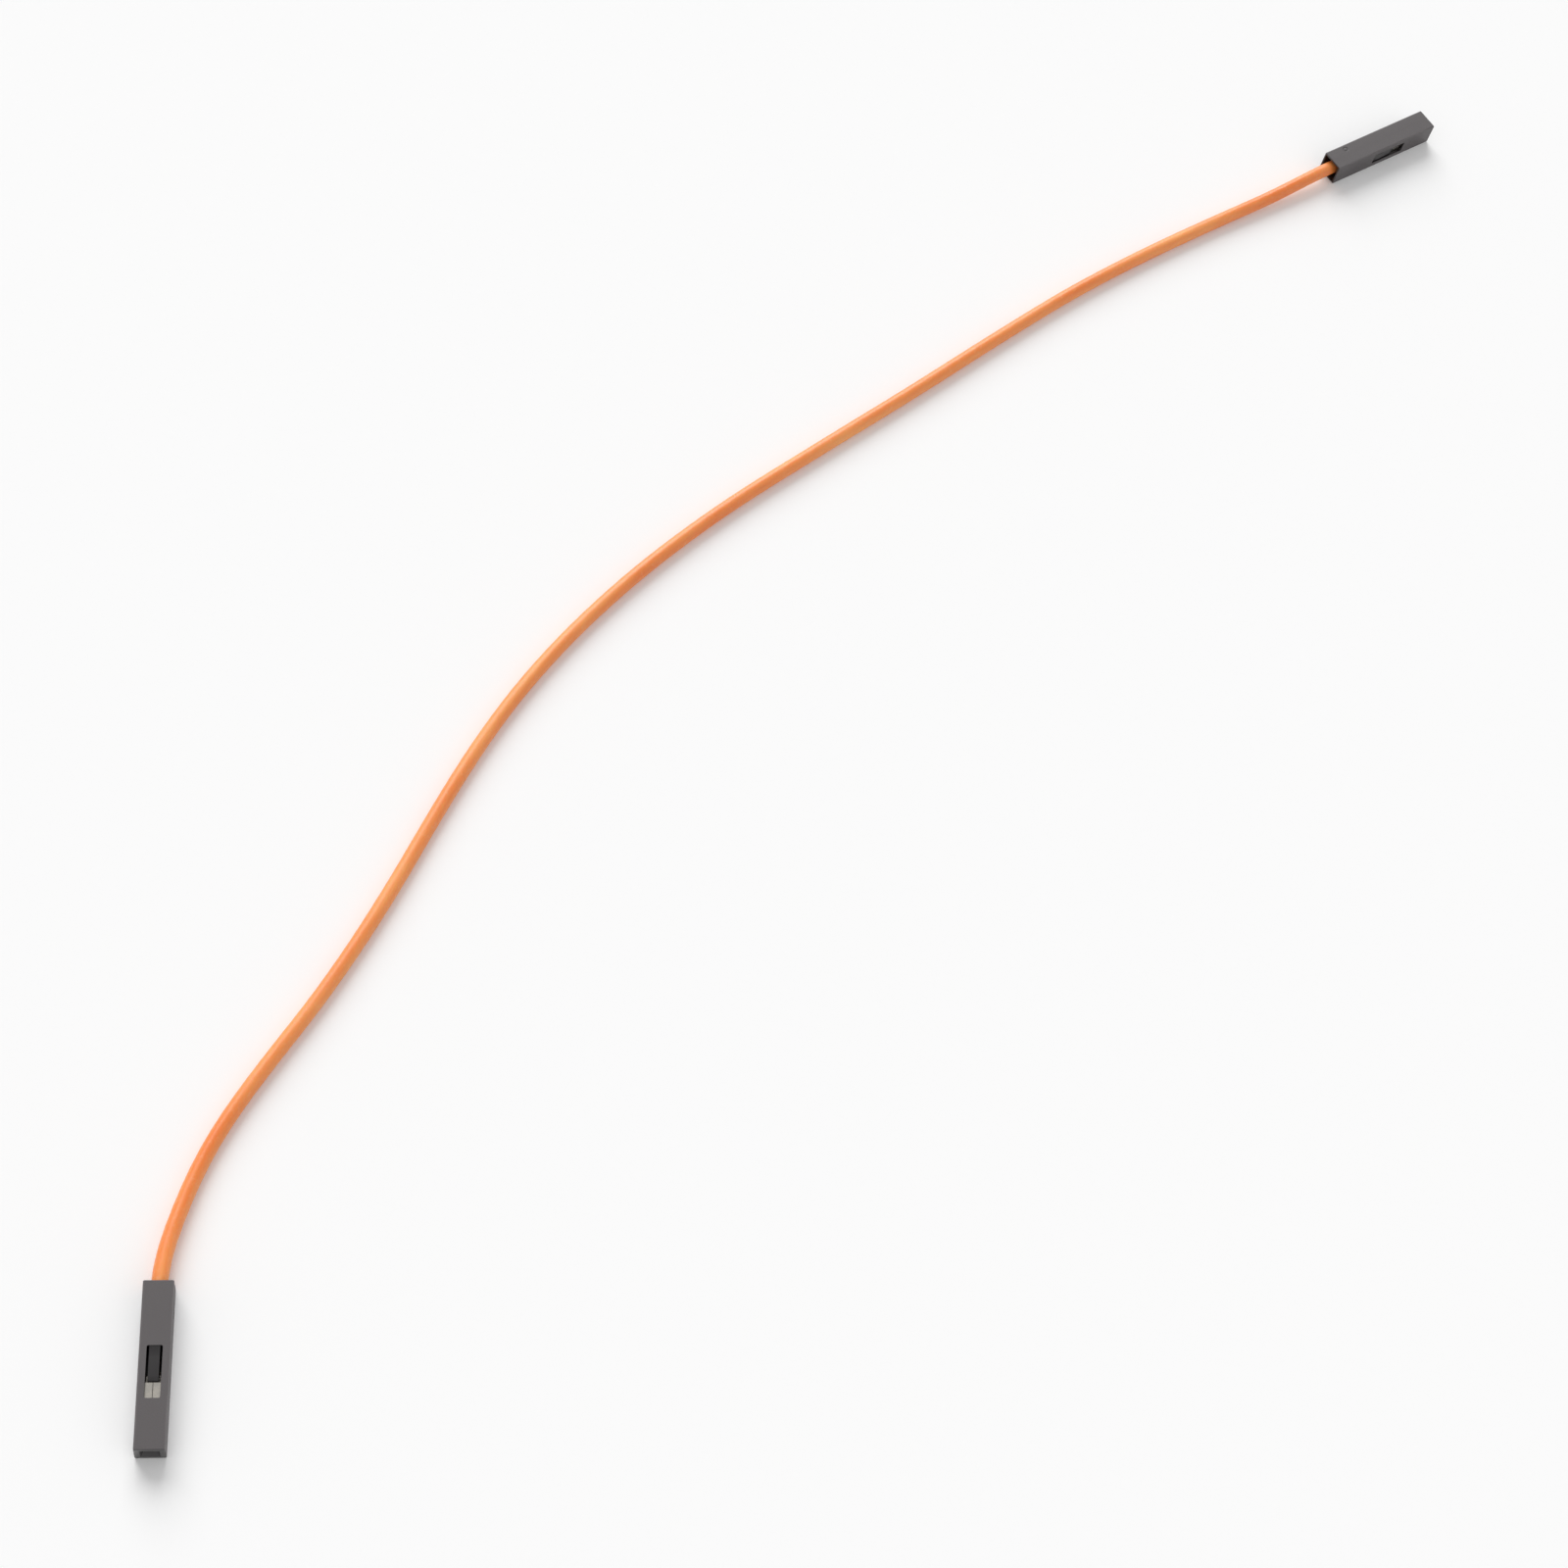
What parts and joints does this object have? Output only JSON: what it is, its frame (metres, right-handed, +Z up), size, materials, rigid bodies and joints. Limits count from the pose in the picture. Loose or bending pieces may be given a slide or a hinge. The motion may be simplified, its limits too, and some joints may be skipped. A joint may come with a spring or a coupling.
{
  "type": "breadboard jumper wire",
  "caption": "Flexible jumper wire with an orange jacket and a square black socket housing crimped on at each end, lying in a loose curve.",
  "frame": {"origin": "on the table, under the middle of the wire's footprint", "axes": "+Z up from the table, +Y away from the viewer, so the wire runs from the front left to the back right"},
  "size_m": [0.1386, 0.1445, 0.0025],
  "materials": {
    "housing_plastic": "moulded black polyester with a fine matt texture",
    "terminal_metal": "tin plated phosphor bronze sheet",
    "jacket_pvc": "extruded soft PVC, satin",
    "strand_copper": "tinned copper strand"
  },
  "bodies": {
    "root": {"near_housing": "housing_plastic", "far_housing": "housing_plastic", "near_terminal": "terminal_metal", "far_terminal": "terminal_metal", "insulation": "jacket_pvc", "near_strand_1": "strand_copper", "near_strand_2": "strand_copper", "near_strand_3": "strand_copper", "near_strand_4": "strand_copper", "near_strand_5": "strand_copper", "near_strand_6": "strand_copper", "near_strand_7": "strand_copper", "far_strand_1": "strand_copper", "far_strand_2": "strand_copper", "far_strand_3": "strand_copper", "far_strand_4": "strand_copper", "far_strand_5": "strand_copper", "far_strand_6": "strand_copper", "far_strand_7": "strand_copper"}
  },
  "joints": []
}
